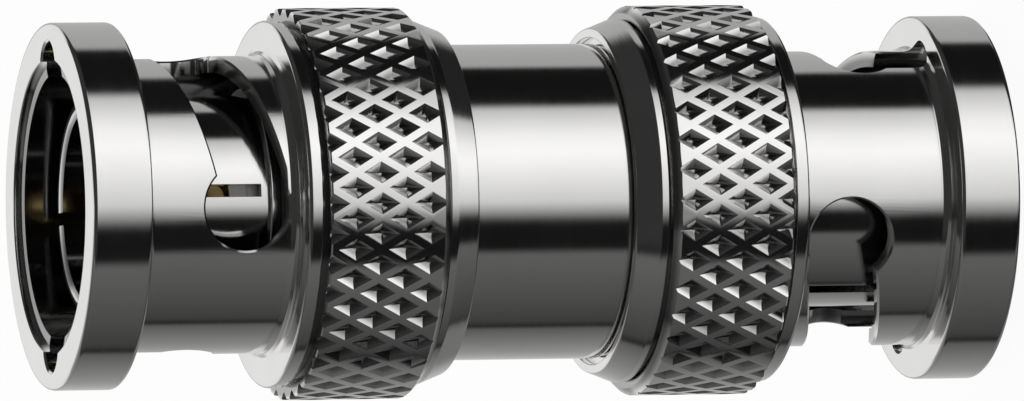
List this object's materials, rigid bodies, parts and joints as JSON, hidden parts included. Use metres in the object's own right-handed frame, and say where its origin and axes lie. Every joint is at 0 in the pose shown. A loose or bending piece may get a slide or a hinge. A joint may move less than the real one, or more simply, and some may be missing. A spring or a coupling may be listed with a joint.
{
  "type": "coaxial bayonet adapter",
  "caption": "Plug-to-plug coaxial bayonet adapter: a plain barrel with a sprung, knurled coupling nut, slotted outer contact and centre pin at each end.",
  "frame": {"origin": "centre of nut B's front face, on which the adapter stands", "axes": "+Z along the common axis, out of the mouth of nut A; +X through nut A's entry notch"},
  "size_m": [0.0146, 0.0146, 0.0354],
  "materials": {
    "nickel_plate": "bright nickel plate on turned brass",
    "contact_plate": "bright plate on spring bronze",
    "spring_steel": "plain spring steel",
    "insulator_white": "turned PTFE",
    "gasket_rubber": "silicone rubber",
    "pin_gold": "gold plate on brass"
  },
  "bodies": {
    "body": {"barrel": "nickel_plate", "centre_pin": "pin_gold", "outer_contact_a": "contact_plate", "outer_contact_b": "contact_plate", "insulator_a": "insulator_white", "insulator_b": "insulator_white", "gasket_a": "gasket_rubber", "gasket_b": "gasket_rubber", "wave_washer_front_a": "spring_steel", "wave_washer_rear_a": "spring_steel", "wave_washer_front_b": "spring_steel", "wave_washer_rear_b": "spring_steel"},
    "thrust_a": {"thrust_washer_a": "spring_steel"},
    "nut_a": {"coupling_nut_a": "nickel_plate", "retaining_ring_a": "nickel_plate"},
    "thrust_b": {"thrust_washer_b": "spring_steel"},
    "nut_b": {"coupling_nut_b": "nickel_plate", "retaining_ring_b": "nickel_plate"}
  },
  "joints": [
    {"name": "pull_a", "type": "slide", "parent": "body", "child": "thrust_a", "axis": [0, 0, 1], "range_m": [0, 0.0008], "stiffness_N_per_m": 2000, "springref_m": -0.001, "deforming": ["wave_washer_front_a", "wave_washer_rear_a"]},
    {"name": "turn_a", "type": "hinge", "parent": "thrust_a", "child": "nut_a", "pos_m": [0, 0, 0.0224], "axis": [0, 0, 1], "continuous": true},
    {"name": "pull_b", "type": "slide", "parent": "body", "child": "thrust_b", "axis": [0, 0, -1], "range_m": [0, 0.0008], "stiffness_N_per_m": 2000, "springref_m": -0.001, "deforming": ["wave_washer_front_b", "wave_washer_rear_b"]},
    {"name": "turn_b", "type": "hinge", "parent": "thrust_b", "child": "nut_b", "pos_m": [0, 0, 0.013], "axis": [0, 0, -1], "continuous": true}
  ]
}
